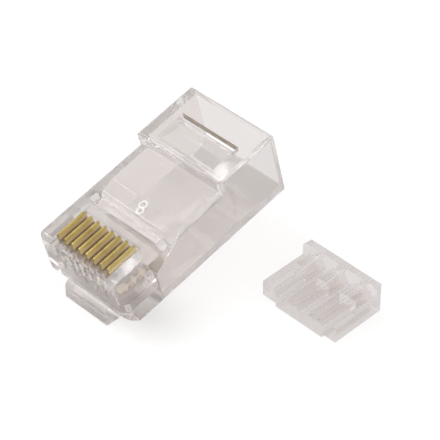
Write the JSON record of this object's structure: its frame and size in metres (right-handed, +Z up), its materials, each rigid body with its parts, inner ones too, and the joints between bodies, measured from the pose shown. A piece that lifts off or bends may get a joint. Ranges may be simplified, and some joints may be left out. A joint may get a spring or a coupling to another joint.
{
  "type": "modular plug",
  "caption": "Clear 8P8C modular plug with raised gold blade contacts, a spring latch, strain reliefs and a loose clear load bar.",
  "frame": {"origin": "under the middle of the plug and its load bar, on the surface that both lie on", "axes": "+X across the plug to the load bar's side, +Y from the nose towards the cable end, +Z up; the plug leans nose down by its latch's angle, 13.6 degrees"},
  "size_m": [0.0266, 0.023, 0.014],
  "materials": {
    "clear_housing": "clear moulded polycarbonate",
    "load_bar_clear": "clear moulded polycarbonate",
    "contacts": "gold plated copper alloy"
  },
  "bodies": {
    "plug_body": {"housing": "clear_housing", "load_bar": "load_bar_clear"},
    "latch": {"latch": "clear_housing"},
    "jacket_bar": {"jacket_strain_relief_bar": "clear_housing"},
    "conductor_bar": {"conductor_strain_relief_bar": "clear_housing"},
    "contact_1": {"contact_1": "contacts"},
    "contact_2": {"contact_2": "contacts"},
    "contact_3": {"contact_3": "contacts"},
    "contact_4": {"contact_4": "contacts"},
    "contact_5": {"contact_5": "contacts"},
    "contact_6": {"contact_6": "contacts"},
    "contact_7": {"contact_7": "contacts"},
    "contact_8": {"contact_8": "contacts"}
  },
  "joints": [
    {"name": "latch_press", "type": "hinge", "parent": "plug_body", "child": "latch", "pos_m": [-0.00743, -0.01014, 0.00155], "axis": [1, 0, 0], "range_deg": [0, 12], "stiffness_Nm_per_rad": 0.3},
    {"name": "jacket_bar_crimp", "type": "hinge", "parent": "plug_body", "child": "jacket_bar", "pos_m": [-0.00743, 0.00339, 0.01213], "axis": [-1, 0, 0], "range_deg": [0, 22]},
    {"name": "conductor_bar_crimp", "type": "hinge", "parent": "plug_body", "child": "conductor_bar", "pos_m": [-0.00743, -0.0049, 0.00765], "axis": [-1, 0, 0], "range_deg": [0, 20]},
    {"name": "contact_1_crimp", "type": "slide", "parent": "plug_body", "child": "contact_1", "axis": [0, 0.2351, -0.972], "range_m": [0, 0.0009]},
    {"name": "contact_2_crimp", "type": "slide", "parent": "plug_body", "child": "contact_2", "axis": [0, 0.2351, -0.972], "range_m": [0, 0.0009]},
    {"name": "contact_3_crimp", "type": "slide", "parent": "plug_body", "child": "contact_3", "axis": [0, 0.2351, -0.972], "range_m": [0, 0.0009]},
    {"name": "contact_4_crimp", "type": "slide", "parent": "plug_body", "child": "contact_4", "axis": [0, 0.2351, -0.972], "range_m": [0, 0.0009]},
    {"name": "contact_5_crimp", "type": "slide", "parent": "plug_body", "child": "contact_5", "axis": [0, 0.2351, -0.972], "range_m": [0, 0.0009]},
    {"name": "contact_6_crimp", "type": "slide", "parent": "plug_body", "child": "contact_6", "axis": [0, 0.2351, -0.972], "range_m": [0, 0.0009]},
    {"name": "contact_7_crimp", "type": "slide", "parent": "plug_body", "child": "contact_7", "axis": [0, 0.2351, -0.972], "range_m": [0, 0.0009]},
    {"name": "contact_8_crimp", "type": "slide", "parent": "plug_body", "child": "contact_8", "axis": [0, 0.2351, -0.972], "range_m": [0, 0.0009]}
  ]
}
